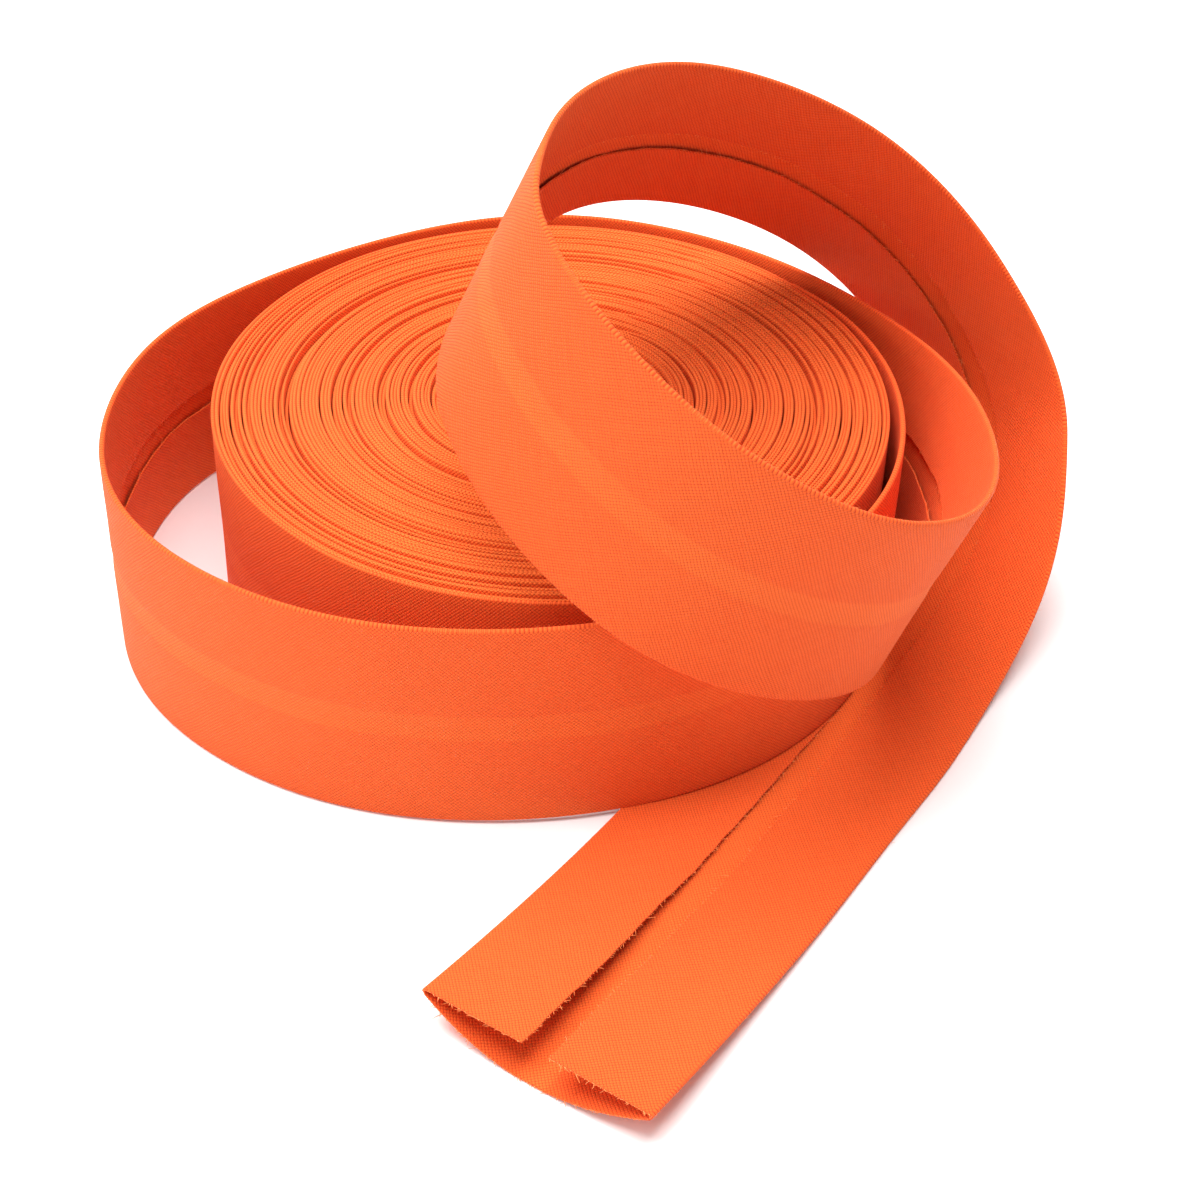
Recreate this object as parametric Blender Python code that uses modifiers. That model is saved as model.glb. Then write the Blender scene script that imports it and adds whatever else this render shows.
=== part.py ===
"""Roll of bias binding: one folded cloth strip, most of it wound flat, the rest lying loose round the roll.

The wound turns are one turned ring that stands on the floor. The loose run is one sheet that leaves the
ring's right side, goes once round it, climbs over it in a second, tilted turn and comes down to lie flat,
passing under the ring's rim. Lengths in the tables are millimetres; the solids are in metres, +Z up, and
the origin is under the middle of the object's box, on the floor.
"""
import math

import bpy
import numpy as np
from mathutils import Matrix, Vector

MM = 0.001
OBJECT_NAME = "bias_binding_roll"

# Folded strip
FOLDED_WIDTH = 30.0
RAW_EDGE_GAP = 3.8
LAYER_THICKNESS = 0.5
LAYER_GAP = 0.3
FOLDED_THICKNESS = 2 * LAYER_THICKNESS + LAYER_GAP

# Wound ring
ROLL_RADIUS = 44.6
CORE_HOLE_RADIUS = 12.0
RIM_CHAMFER = 0.4
BAND_GROOVE_WIDTH = 0.7
BAND_GROOVE_DEPTH = 0.8
ROLL_STEPS = 72

# Groups of turns on the ring's top face, from the rim inwards, each parted from the next by a groove
BAND_COLUMNS = ("outer_radius", "height")
TURN_BANDS = (
    (44.6, 30.0),
    (40.6, 30.3),
    (34.8, 29.9),
    (27.5, 30.2),
    (21.0, 29.8),
    (16.0, 29.5),
)

# Relief under the rim, where the flat end of the loose run passes below the turns
RELIEF_HEIGHT = 2.8
RELIEF_DISTANCE = 31.5
RELIEF_DEPTH = 16.0
RELIEF_LENGTH = 80.0
RELIEF_AZIMUTH_DEG = -35.6

# Loose run, from the ring outwards: guide rows of the mid-width line, about the ring's axis.
# bank turns the strip's upper edge outwards: 0 stands on edge, 90 lies with its raw edges up.
ROUTE_COLUMNS = ("x", "y", "z", "bank")
ROUTE = (
    # leaves the ring at the right, standing on edge and lifted over the flat end
    (46, -2, 17.2, 0),
    (43, -22, 17.3, 0),
    (29, -40, 17.3, 0),
    (6, -50, 17, 0),
    # first turn: a wide loop at the left
    (-23, -50, 15.1, 0),
    (-46, -37, 15.1, 0),
    (-58, -18, 15.1, 0),
    (-57, 8, 15.1, -2),
    (-47, 26, 15.1, -8),
    # close round the back of the ring
    (-21, 43, 15.1, 0),
    (4, 50, 15.1, 0),
    (33, 37, 15.1, 0),
    # second turn: out and up at the right, and over the ring from front right to rear left
    (50, 12, 16.5, 0),
    (50, -18, 23, 20),
    (45, -42, 28, 20),
    (29, -54, 36, 15),
    (12, -54, 46, -5),
    (-1, -44, 55, -15),
    (-7, -33, 60, -18),
    # tight bend above the ring
    (-8, -25, 63, -25),
    (-4, -8, 64, -22),
    # arch over the rear of the ring, coming down at the right
    (9, 11, 63, -35),
    (34, 24, 51, -40),
    (54, 23, 34, -30),
    (64, 10, 14, 30),
    (56, -4, 5, 72),
    # flat on the floor, out to the cut end in front
    (45, -19, 0.7, 90),
    (38, -32, 0.65, 90),
    (30, -43, 0.65, 90),
    (21, -57, 0.65, 90),
    (10, -73, 0.65, 90),
    (-1, -89, 0.65, 90),
)
STATIONS_PER_ROW = 4

# Cut end: the raw-edge layers stay straight while the outer layer sags open to the floor
MOUTH_DEPTH = 4.4
MOUTH_LENGTH = 50.0

# Looks of the plain solids
CLOTH_ORANGE = (0.95, 0.14, 0.025, 1.0)
TURN_ORANGE = (0.95, 0.19, 0.035, 1.0)
CLOTH_ROUGHNESS = 0.85


def clear_scene():
    """Remove every object that the file opened with."""
    for item in list(bpy.data.objects):
        bpy.data.objects.remove(item, do_unlink=True)


def new_collection(name):
    """A collection linked under the scene's own."""
    collection = bpy.data.collections.new(name)
    bpy.context.scene.collection.children.link(collection)
    return collection


def cloth_material(name, colour):
    """A matt cloth finish."""
    material = bpy.data.materials.new(name)
    material.use_nodes = True
    shader = material.node_tree.nodes["Principled BSDF"]
    shader.inputs["Base Color"].default_value = colour
    shader.inputs["Roughness"].default_value = CLOTH_ROUGHNESS
    shader.inputs["Metallic"].default_value = 0.0
    return material


def mesh_object(name, collection, points, edges=(), faces=(), material=None):
    """An object made from points in millimetres."""
    mesh = bpy.data.meshes.new(name)
    mesh.from_pydata([Vector(point) * MM for point in points], list(edges), list(faces))
    mesh.update()
    item = bpy.data.objects.new(name, mesh)
    if material is not None:
        mesh.materials.append(material)
    collection.objects.link(item)
    return item


def ring_profile():
    """Closed section of the wound ring, down its outer side, in under it and back along the banded top."""
    half_groove = BAND_GROOVE_WIDTH / 2
    profile = [
        (ROLL_RADIUS, 0, RIM_CHAMFER),
        (ROLL_RADIUS - RIM_CHAMFER, 0, 0),
        (CORE_HOLE_RADIUS + RIM_CHAMFER, 0, 0),
        (CORE_HOLE_RADIUS, 0, RIM_CHAMFER),
    ]
    inner_height = TURN_BANDS[-1][1]
    profile.append((CORE_HOLE_RADIUS, 0, inner_height - RIM_CHAMFER))
    profile.append((CORE_HOLE_RADIUS + RIM_CHAMFER, 0, inner_height))
    for inner_band, outer_band in zip(TURN_BANDS[:0:-1], TURN_BANDS[-2::-1]):
        radius = inner_band[0]
        lowest = min(inner_band[1], outer_band[1]) - BAND_GROOVE_DEPTH
        profile.append((radius - half_groove, 0, inner_band[1]))
        profile.append((radius, 0, lowest))
        profile.append((radius + half_groove, 0, outer_band[1]))
    rim_height = TURN_BANDS[0][1]
    profile.append((ROLL_RADIUS - RIM_CHAMFER, 0, rim_height))
    profile.append((ROLL_RADIUS, 0, rim_height - RIM_CHAMFER))
    return profile


def relief_cutter(collection):
    """Low block that clears the underside where the flat run passes below the rim."""
    bpy.ops.mesh.primitive_cube_add(size=1.0)
    cutter = bpy.context.active_object
    cutter.name = "rim_relief_cutter"
    size = (RELIEF_DEPTH, RELIEF_LENGTH, 2 * RELIEF_HEIGHT)
    cutter.data.transform(Matrix.Diagonal((*size, 1.0)) * MM)
    azimuth = math.radians(RELIEF_AZIMUTH_DEG)
    reach = RELIEF_DISTANCE + RELIEF_DEPTH / 2
    cutter.location = Vector((math.cos(azimuth), math.sin(azimuth), 0)) * reach * MM
    cutter.rotation_euler = (0, 0, azimuth)
    for owner in list(cutter.users_collection):
        owner.objects.unlink(cutter)
    collection.objects.link(cutter)
    cutter.hide_render = True
    cutter.display_type = "WIRE"
    return cutter


def wound_roll(collection, cutters):
    """The wound turns as one turned ring with a core hole and a relief under its rim."""
    profile = ring_profile()
    count = len(profile)
    edges = [(index, (index + 1) % count) for index in range(count)]
    ring = mesh_object("wound_roll", collection, profile, edges=edges,
                       material=cloth_material("wound_turns", TURN_ORANGE))
    screw = ring.modifiers.new("turned_ring", "SCREW")
    screw.steps = ROLL_STEPS
    screw.render_steps = ROLL_STEPS
    screw.use_merge_vertices = True
    screw.merge_threshold = 0.00001
    screw.use_smooth_shade = True
    cut = ring.modifiers.new("rim_relief", "BOOLEAN")
    cut.operation = "DIFFERENCE"
    cut.object = relief_cutter(cutters)
    return ring


def drawn_route():
    """Stations of the loose run: a uniform cubic B-spline drawn by the guide rows, ends included."""
    rows = np.array(ROUTE, dtype=float)
    guides = np.vstack([2 * rows[0] - rows[1], rows, 2 * rows[-1] - rows[-2]])
    gaps = len(rows) - 1
    place = np.linspace(0, gaps, gaps * STATIONS_PER_ROW + 1)
    start = np.minimum(place.astype(int), gaps - 1)
    part = (place - start)[:, None]
    weights = (
        (1 - part) ** 3 / 6,
        (3 * part ** 3 - 6 * part ** 2 + 4) / 6,
        (-3 * part ** 3 + 3 * part ** 2 + 3 * part + 1) / 6,
        part ** 3 / 6,
    )
    return sum(weight * guides[start + step] for step, weight in enumerate(weights))


def strip_frames(stations):
    """Width direction (towards the upper edge) and outward normal of the strip at each station."""
    along = np.gradient(stations[:, :3], axis=0)
    along /= np.linalg.norm(along, axis=1)[:, None]
    upright = np.array([0.0, 0.0, 1.0]) - along[:, 2:3] * along
    upright /= np.linalg.norm(upright, axis=1)[:, None]
    outward = np.cross(upright, along)
    bank = np.radians(stations[:, 3:4])
    width = np.cos(bank) * upright + np.sin(bank) * outward
    normal = np.cos(bank) * outward - np.sin(bank) * upright
    return width, normal


def fold_section():
    """Mid-cloth path across the folded strip as (across, out) points, and how far each point may sag.

    It runs from one raw edge to its fold, over the outer layer to the other fold, and back to the other
    raw edge. Each fold is a half circle between the two layers.
    """
    layer_offset = (LAYER_THICKNESS + LAYER_GAP) / 2
    fold_centre = FOLDED_WIDTH / 2 - FOLDED_THICKNESS / 2
    raw_edge = RAW_EDGE_GAP / 2
    half = [(raw_edge, -layer_offset)]
    for angle in (-90, -30, 30, 90):
        turn = math.radians(angle)
        half.append((fold_centre + layer_offset * math.cos(turn), layer_offset * math.sin(turn)))
    half.append((fold_centre / 2, layer_offset))
    middle = [(0.0, layer_offset)]
    path = [(-across, out) for across, out in half] + middle + half[::-1]
    section = np.array(path)
    outer_layer = section[:, 1] > layer_offset / 2
    sag_share = np.where(outer_layer, np.clip(1 - (section[:, 0] / fold_centre) ** 2, 0, None), 0)
    return section, sag_share


def loose_run(collection):
    """The loose run as one folded sheet lofted along its route, its cut end open like a mouth."""
    stations = drawn_route()
    steps = np.linalg.norm(np.diff(stations[:, :3], axis=0), axis=1)
    run_length = np.concatenate([[0.0], np.cumsum(steps)])
    to_end = run_length[-1] - run_length
    mouth = MOUTH_DEPTH * np.clip(1 - to_end / MOUTH_LENGTH, 0, None) ** 2
    stations[:, 2] += mouth
    width, normal = strip_frames(stations)
    section, sag_share = fold_section()
    out = section[None, :, 1] + mouth[:, None] * sag_share[None, :]
    points = (
        stations[:, None, :3]
        + section[None, :, :1] * width[:, None, :]
        + out[:, :, None] * normal[:, None, :]
    )
    rows, columns = out.shape
    index = np.arange(rows * columns).reshape(rows, columns)
    corners = (index[:-1, :-1], index[:-1, 1:], index[1:, 1:], index[1:, :-1])
    faces = np.stack([corner.ravel() for corner in corners], axis=1)
    sheet = mesh_object("loose_run", collection, points.reshape(-1, 3).tolist(), faces=faces.tolist(),
                        material=cloth_material("folded_cloth", CLOTH_ORANGE))
    sheet.data.shade_smooth()
    thicken = sheet.modifiers.new("cloth_thickness", "SOLIDIFY")
    thicken.thickness = LAYER_THICKNESS * MM
    thicken.offset = 0.0
    thicken.use_even_offset = True
    thicken.use_rim = True
    return sheet


def stand_on_origin(pieces, collection):
    """Parent the pieces to an empty that puts the middle of their box, on the floor, at the origin."""
    bpy.context.view_layer.update()
    scene_state = bpy.context.evaluated_depsgraph_get()
    corners = []
    for piece in pieces:
        shape = piece.evaluated_get(scene_state).to_mesh()
        corners += [piece.matrix_world @ vertex.co for vertex in shape.vertices]
    places = np.array(corners)
    middle = (places.min(axis=0) + places.max(axis=0)) / 2
    holder = bpy.data.objects.new("object_origin", None)
    collection.objects.link(holder)
    for piece in pieces:
        piece.parent = holder
    holder.location = (-middle[0], -middle[1], -places[:, 2].min())
    return holder


def main():
    """Build the wound ring and the loose run in the object's own frame."""
    clear_scene()
    parts = new_collection(OBJECT_NAME)
    cutters = new_collection("cutters")
    ring = wound_roll(parts, cutters)
    sheet = loose_run(parts)
    holder = stand_on_origin([ring, sheet], parts)
    ring.modifiers["rim_relief"].object.parent = holder
    bpy.context.view_layer.update()


main()
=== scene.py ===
"""A roll of bias binding: its wound turns, its folded loose run, and the studio round them.

Lengths are in metres unless a name ends in _MM. Places on the floor are taken from the middle of the
packed roll.
"""
import logging
import math
from dataclasses import dataclass, field
from enum import Enum

import bpy
import numpy as np
from mathutils import Matrix, Vector


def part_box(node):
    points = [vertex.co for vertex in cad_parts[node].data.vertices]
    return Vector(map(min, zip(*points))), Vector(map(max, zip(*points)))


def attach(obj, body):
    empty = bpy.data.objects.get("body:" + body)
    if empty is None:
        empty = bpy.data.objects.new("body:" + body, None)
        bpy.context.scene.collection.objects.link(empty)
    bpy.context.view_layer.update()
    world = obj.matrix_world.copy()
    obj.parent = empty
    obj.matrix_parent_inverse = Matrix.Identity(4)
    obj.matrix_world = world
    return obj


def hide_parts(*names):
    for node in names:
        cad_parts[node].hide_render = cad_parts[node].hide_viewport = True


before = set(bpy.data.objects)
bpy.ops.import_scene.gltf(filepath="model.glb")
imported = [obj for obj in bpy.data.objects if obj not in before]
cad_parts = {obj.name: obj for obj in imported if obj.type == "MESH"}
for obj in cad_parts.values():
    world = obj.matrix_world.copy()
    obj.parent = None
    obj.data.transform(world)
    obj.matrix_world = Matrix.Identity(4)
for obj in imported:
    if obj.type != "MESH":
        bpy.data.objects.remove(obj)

MM = 0.001
BODY = "root"
LOG = logging.getLogger("bias_binding")

Waves = tuple[tuple[float, float, float], ...]
Colour = tuple[float, float, float]


class Slot(Enum):
    """The record's material slots."""

    TURNS = "wound_turns"
    CLOTH = "folded_cloth"


class Node(Enum):
    """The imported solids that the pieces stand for."""

    ROLL = "wound_roll"
    RUN = "loose_run"


# ---------------------------------------------------------------------------------------------- helpers


def ripple(place: np.ndarray, waves: Waves) -> np.ndarray:
    """A smooth wander: the sum of sines of the place.

    Args:
        place: Distances along the strip.
        waves: For each sine, its height, its wavelength and its phase.

    Returns:
        The sum of the sines at each place.
    """
    return sum(height * np.sin(2 * np.pi * place / length + phase) for height, length, phase in waves)


def smooth_step(value: np.ndarray) -> np.ndarray:
    """A smooth rise from 0 to 1 while the value goes from 0 to 1: 3t² - 2t³."""
    part = np.clip(value, 0, 1)
    return part * part * (3 - 2 * part)


def unit(vectors: np.ndarray) -> np.ndarray:
    """The vectors at length one."""
    return vectors / np.linalg.norm(vectors, axis=-1, keepdims=True)


def mesh_piece(name: str, points: np.ndarray, faces: np.ndarray, uv: np.ndarray | None = None,
               sharp_deg: float = 50.0) -> bpy.types.Object:
    """An object at the origin whose place is in its mesh.

    Args:
        name: The piece's name.
        points: Corners, one a row.
        faces: Four corner numbers a row, or three.
        uv: For each face corner, its place on the flat cloth in metres.
        sharp_deg: Edges that turn by more than this are shaded sharp.

    Returns:
        The linked object.
    """
    mesh = bpy.data.meshes.new(name)
    sides = faces.shape[1]
    mesh.vertices.add(len(points))
    mesh.vertices.foreach_set("co", points.astype(np.float32).ravel())
    mesh.loops.add(faces.size)
    mesh.loops.foreach_set("vertex_index", faces.astype(np.int32).ravel())
    mesh.polygons.add(len(faces))
    mesh.polygons.foreach_set("loop_start", np.arange(0, faces.size, sides, dtype=np.int32))
    if uv is not None:
        layer = mesh.uv_layers.new(name="UVMap")
        layer.data.foreach_set("uv", uv.astype(np.float32).ravel())
    mesh.update(calc_edges=True)
    mesh.validate()
    mesh.shade_smooth()
    mesh.set_sharp_from_angle(angle=math.radians(sharp_deg))
    piece = bpy.data.objects.new(name, mesh)
    bpy.context.scene.collection.objects.link(piece)
    return piece


def dress(piece: bpy.types.Object, finish: bpy.types.Material, solid: Node | None = None
          ) -> None:
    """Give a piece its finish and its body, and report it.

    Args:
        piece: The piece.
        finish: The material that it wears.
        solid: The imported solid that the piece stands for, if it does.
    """
    piece.data.materials.append(finish)
    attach(piece, BODY)
    if solid is not None:
        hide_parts(solid.value)
    LOG.info("%s: %d faces", piece.name, len(piece.data.polygons))


# ------------------------------------------------------------------------------------ shader node work


class Bench:
    """Puts nodes into a tree and joins them."""

    def __init__(self, tree: bpy.types.NodeTree) -> None:
        """Work on this tree."""
        self.tree = tree

    def add(self, kind: str, inputs: dict | None = None, **settings: object) -> bpy.types.Node:
        """Add a node.

        Args:
            kind: The node's type.
            inputs: For an input's name or number, a value to hold or an output to join to it.
            **settings: The node's own settings.

        Returns:
            The new node.
        """
        node = self.tree.nodes.new(kind)
        for key, value in settings.items():
            setattr(node, key, value)
        for key, value in (inputs or {}).items():
            if isinstance(value, bpy.types.NodeSocket):
                self.tree.links.new(value, node.inputs[key])
            else:
                node.inputs[key].default_value = value
        return node

    def math(self, operation: str, *values: object, clamp: bool = False) -> bpy.types.NodeSocket:
        """A Math node of up to three values, and its output."""
        return self.add("ShaderNodeMath", dict(enumerate(values)), operation=operation,
                        use_clamp=clamp).outputs[0]

    def range(self, value: bpy.types.NodeSocket, low: float, high: float, start: float = 0.0,
              end: float = 1.0) -> bpy.types.NodeSocket:
        """A smooth passage from start to end while the value goes from low to high."""
        inputs = {"Value": value, "From Min": low, "From Max": high, "To Min": start, "To Max": end}
        return self.add("ShaderNodeMapRange", inputs, interpolation_type="SMOOTHSTEP").outputs[0]

    def mix(self, factor: object, first: object, second: object) -> bpy.types.NodeSocket:
        """A colour between the first and the second."""
        return self.add("ShaderNodeMix", {0: factor, 6: first, 7: second}, data_type="RGBA").outputs[2]

    def noise(self, place: bpy.types.NodeSocket, scale: tuple[float, float, float], detail: float,
              roughness: float = 0.5) -> bpy.types.NodeSocket:
        """Noise that is stretched by the scale along each direction of the place."""
        stretched = self.add("ShaderNodeVectorMath", {0: place, 1: scale}, operation="MULTIPLY")
        inputs = {"Vector": stretched.outputs[0], "Scale": 1.0, "Detail": detail, "Roughness": roughness}
        return self.add("ShaderNodeTexNoise", inputs).outputs[0]


def node_group(name: str, inputs: dict[str, str], outputs: dict[str, str]
               ) -> tuple[bpy.types.NodeTree, "Bench", bpy.types.Node, bpy.types.Node]:
    """A new shader node group with named sockets.

    Args:
        name: The group's name.
        inputs: For each input's name, its socket type.
        outputs: For each output's name, its socket type.

    Returns:
        The group, a bench for its tree, its input node and its output node.
    """
    group = bpy.data.node_groups.new(name, "ShaderNodeTree")
    for title, kind in inputs.items():
        group.interface.new_socket(name=title, in_out="INPUT", socket_type=kind)
    for title, kind in outputs.items():
        group.interface.new_socket(name=title, in_out="OUTPUT", socket_type=kind)
    bench = Bench(group)
    return group, bench, bench.add("NodeGroupInput"), bench.add("NodeGroupOutput")


# Plain weave, counted in threads
BIAS_ANGLE_DEG = 45.0
ROW_BEND_SCALE = 0.045
ROW_BEND = 1.6
STEEP_POWER = 0.75
LEVEL_POWER = 0.3
SLUB_SCALES = ((0.9, 0.035, 1), (0.03, 1.1, 1))
CLOUD_SCALE = (0.012, 0.012, 1)
FUZZ_SCALE = (1.7, 1.7, 1)
TONE_BASE, CLOUD_SHARE, FUZZ_SHARE, SLUB_SHARE = 0.2, 0.35, 0.25, 0.45
SLUB_SWELL, THREAD_SWELL = 0.9, 0.5

# Wandering edge of the one-layer band, where the painted shine-through light ends
EDGE_WANDER_SCALE = 160.0
EDGE_WANDER = 0.6 * MM


def weave_group() -> bpy.types.NodeTree:
    """Plain weave that runs at 45 degrees to the strip.

    The flat cloth is turned by 45 degrees and counted in threads, a across one set and b across the
    other. The sign of sin(pi a) * sin(pi b) says which set lies on top, and that set's thread is a
    rounded bar: steep across itself and nearly level along itself. Long noise along each set makes
    threads that are thick in places, and slow noise bends the rows a little.

    Returns:
        The node group, with the cloth's height, its tone and its slubs.
    """
    group, bench, start, end = node_group(
        "bias_weave",
        {"Flat Place": "NodeSocketVector", "Threads Per Metre": "NodeSocketFloat"},
        {"Height": "NodeSocketFloat", "Tone": "NodeSocketFloat", "Slub": "NodeSocketFloat"},
    )
    turned = bench.add("ShaderNodeMapping", {"Vector": start.outputs[0],
                                             "Rotation": (0, 0, math.radians(BIAS_ANGLE_DEG))})
    counted = bench.add("ShaderNodeVectorMath", {0: turned.outputs[0], "Scale": start.outputs[1]},
                        operation="SCALE").outputs[0]
    bend = bench.add("ShaderNodeTexNoise", {"Vector": counted, "Scale": ROW_BEND_SCALE, "Detail": 2.0})
    shift = {0: bend.outputs[1], 1: (ROW_BEND, ROW_BEND, 0), 2: counted}
    shifted = bench.add("ShaderNodeVectorMath", shift, operation="MULTIPLY_ADD").outputs[0]
    parts = bench.add("ShaderNodeSeparateXYZ", {0: shifted})
    waves = [bench.math("SINE", bench.math("MULTIPLY", parts.outputs[axis], math.pi)) for axis in (0, 1)]
    over = bench.math("GREATER_THAN", bench.math("MULTIPLY", *waves), 0.0)
    bars = [bench.math("ABSOLUTE", wave) for wave in waves]
    steep = [bench.math("POWER", bar, STEEP_POWER) for bar in bars]
    level = [bench.math("POWER", bar, LEVEL_POWER) for bar in bars]
    lengthwise = bench.math("MULTIPLY", steep[0], level[1])
    crosswise = bench.math("MULTIPLY", level[0], steep[1])
    weave = bench.add("ShaderNodeMix", {0: over, 2: crosswise, 3: lengthwise}).outputs[0]
    slubs = [bench.noise(shifted, scale, 2.0, 0.6) for scale in SLUB_SCALES]
    slub = bench.add("ShaderNodeMix", {0: over, 2: slubs[1], 3: slubs[0]}).outputs[0]
    cloud = bench.noise(shifted, CLOUD_SCALE, 3.0)
    fuzz = bench.noise(shifted, FUZZ_SCALE, 1.0)
    tone = bench.math("MULTIPLY_ADD", fuzz, FUZZ_SHARE, TONE_BASE)
    tone = bench.math("MULTIPLY_ADD", cloud, CLOUD_SHARE, tone)
    tone = bench.math("MULTIPLY_ADD", slub, SLUB_SHARE, tone, clamp=True)
    swell = bench.math("MULTIPLY_ADD", slub, SLUB_SWELL, THREAD_SWELL)
    bench.tree.links.new(bench.math("MULTIPLY", weave, swell), end.inputs[0])
    bench.tree.links.new(tone, end.inputs[1])
    bench.tree.links.new(slub, end.inputs[2])
    return group


def painted_shine_mask_group() -> bpy.types.NodeTree:
    """Mask for light painted as shining through the strip where it is one layer thick: 1 between the two
    raw edges, 0 beyond them.

    Returns:
        The node group, whose mask falls smoothly over the edge's width.
    """
    group, bench, start, end = node_group(
        "painted_shine_mask",
        {"Flat Place": "NodeSocketVector", "Half Gap": "NodeSocketFloat", "Edge": "NodeSocketFloat"},
        {"Mask": "NodeSocketFloat"},
    )
    parts = bench.add("ShaderNodeSeparateXYZ", {0: start.outputs[0]})
    wander = bench.add("ShaderNodeTexNoise", {"Vector": start.outputs[0], "Scale": EDGE_WANDER_SCALE,
                                              "Detail": 1.0})
    shake = bench.math("MULTIPLY_ADD", wander.outputs[0], EDGE_WANDER, -EDGE_WANDER / 2)
    away = bench.math("ABSOLUTE", bench.math("ADD", parts.outputs[0], shake))
    beyond = bench.math("DIVIDE", bench.math("SUBTRACT", away, start.outputs[1]), start.outputs[2])
    bench.tree.links.new(bench.range(beyond, -1.0, 1.0, 1.0, 0.0), end.inputs[0])
    return group


@dataclass(frozen=True)
class ClothFinish:
    """One finish of the woven cloth.

    the colour between the threads is painted shade, mixed in where the weave is low; thread and bright
    are the ends of the threads' range of tone; and the one-layer colour is painted light, as if light
    shone through the strip where it is one layer thick.
    """

    name: str
    pit_shade: Colour
    thread: Colour
    bright: Colour
    painted_shine: Colour
    painted_shine_share: float = 0.5
    half_gap: float = 1.9 * MM
    gap_edge: float = 0.35 * MM
    pit_shade_height: float = 0.55
    roughness: float = 0.88
    slub_smoothness: float = 0.12
    sheen: float = 0.09
    sheen_roughness: float = 0.5
    sheen_tint: Colour = (1.0, 0.62, 0.42)
    gloss: float = 0.25
    relief: float = 0.09 * MM
    threads_per_metre: float = 2700.0

    def material(self, weave: bpy.types.NodeTree, layer: bpy.types.NodeTree) -> bpy.types.Material:
        """The finish as a material.

        Args:
            weave: The weave's node group.
            layer: The node group that masks the painted shine-through light of the one-layer band.

        Returns:
            A Principled material on the piece's own flat cloth map.
        """
        material = bpy.data.materials.new(self.name)
        material.use_nodes = True
        bench = Bench(material.node_tree)
        shader = material.node_tree.nodes["Principled BSDF"]
        flat = bench.add("ShaderNodeUVMap", uv_map="UVMap").outputs[0]
        cloth = bench.add("ShaderNodeGroup", node_tree=weave)
        bench.tree.links.new(flat, cloth.inputs[0])
        cloth.inputs[1].default_value = self.threads_per_metre
        band = bench.add("ShaderNodeGroup", node_tree=layer)
        bench.tree.links.new(flat, band.inputs[0])
        band.inputs[1].default_value = self.half_gap
        band.inputs[2].default_value = self.gap_edge
        threads = bench.mix(cloth.outputs["Tone"], (*self.thread, 1), (*self.bright, 1))
        # Painted light: the one-layer band between the raw edges is lightened as if light shone through
        # it.
        share = bench.math("MULTIPLY", band.outputs[0], self.painted_shine_share)
        lit = bench.mix(share, threads, (*self.painted_shine, 1))
        # Painted shade: the cloth darkens to the colour between the threads where the weave is low.
        depth = bench.range(cloth.outputs["Height"], 0.0, self.pit_shade_height)
        bench.tree.links.new(bench.mix(depth, (*self.pit_shade, 1), lit), shader.inputs["Base Color"])
        rough = bench.math("MULTIPLY_ADD", cloth.outputs["Slub"], -self.slub_smoothness, self.roughness)
        bench.tree.links.new(rough, shader.inputs["Roughness"])
        bump = bench.add("ShaderNodeBump", {"Height": cloth.outputs["Height"], "Strength": 1.0,
                                            "Distance": self.relief})
        bench.tree.links.new(bump.outputs[0], shader.inputs["Normal"])
        shader.inputs["Sheen Weight"].default_value = self.sheen
        shader.inputs["Sheen Roughness"].default_value = self.sheen_roughness
        shader.inputs["Sheen Tint"].default_value = (*self.sheen_tint, 1)
        shader.inputs["Specular IOR Level"].default_value = self.gloss
        return material


@dataclass
class Finishes:
    """The finishes that the pieces wear, made once."""

    cloth: bpy.types.Material = field(init=False)
    # folds: a lighter copy of the cloth, carrying painted highlight on the wound turns.
    folds: bpy.types.Material = field(init=False)
    # threads: a much lighter copy of the cloth, carrying painted highlight on the loose fibres.
    threads: bpy.types.Material = field(init=False)

    def __post_init__(self) -> None:
        """Make the node groups and the materials."""
        weave, layer = weave_group(), painted_shine_mask_group()
        cloth = ClothFinish(
            "orange_cloth", pit_shade=(0.60, 0.03, 0.005), thread=(0.84, 0.083, 0.010),
            bright=(0.96, 0.148, 0.023), painted_shine=(1.0, 0.175, 0.027))
        # A lighter copy of the cloth for the wound turns: painted highlight where light catches the
        # folds on the roll's top.
        folds = ClothFinish(
            "orange_folds_painted_highlight", pit_shade=(0.58, 0.028, 0.005), thread=(0.92, 0.115, 0.014),
            bright=(1.0, 0.20, 0.032), painted_shine=cloth.bright, painted_shine_share=0.0, relief=0.12 * MM)
        # A much lighter copy of the cloth for the loose threads: painted highlight where the thin fibres
        # catch the light.
        threads = ClothFinish(
            "orange_threads_painted_highlight", pit_shade=(0.9, 0.14, 0.03), thread=(1.0, 0.22, 0.05), bright=(1.0, 0.32, 0.1),
            painted_shine=cloth.bright, painted_shine_share=0.0, sheen=0.5, relief=0.02 * MM)
        self.cloth = cloth.material(weave, layer)
        self.folds = folds.material(weave, layer)
        self.threads = threads.material(weave, layer)


# -------------------------------------------------------------------------------------- strips of tape


@dataclass
class Strip:
    """Stations along a strip, on the outer face of its outer layer."""

    face: np.ndarray
    width: np.ndarray
    normal: np.ndarray
    along: np.ndarray

    def points(self, across: np.ndarray, out: np.ndarray) -> np.ndarray:
        """Places on the strip: face + across * width direction + out * outward normal.

        Args:
            across: Distance from the strip's middle line, towards its upper edge, for each station and
                section point.
            out: Distance outwards from its outer face.

        Returns:
            One place for each station and section point.
        """
        return (self.face[:, None] + across[..., None] * self.width[:, None]
                + out[..., None] * self.normal[:, None])


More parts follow.
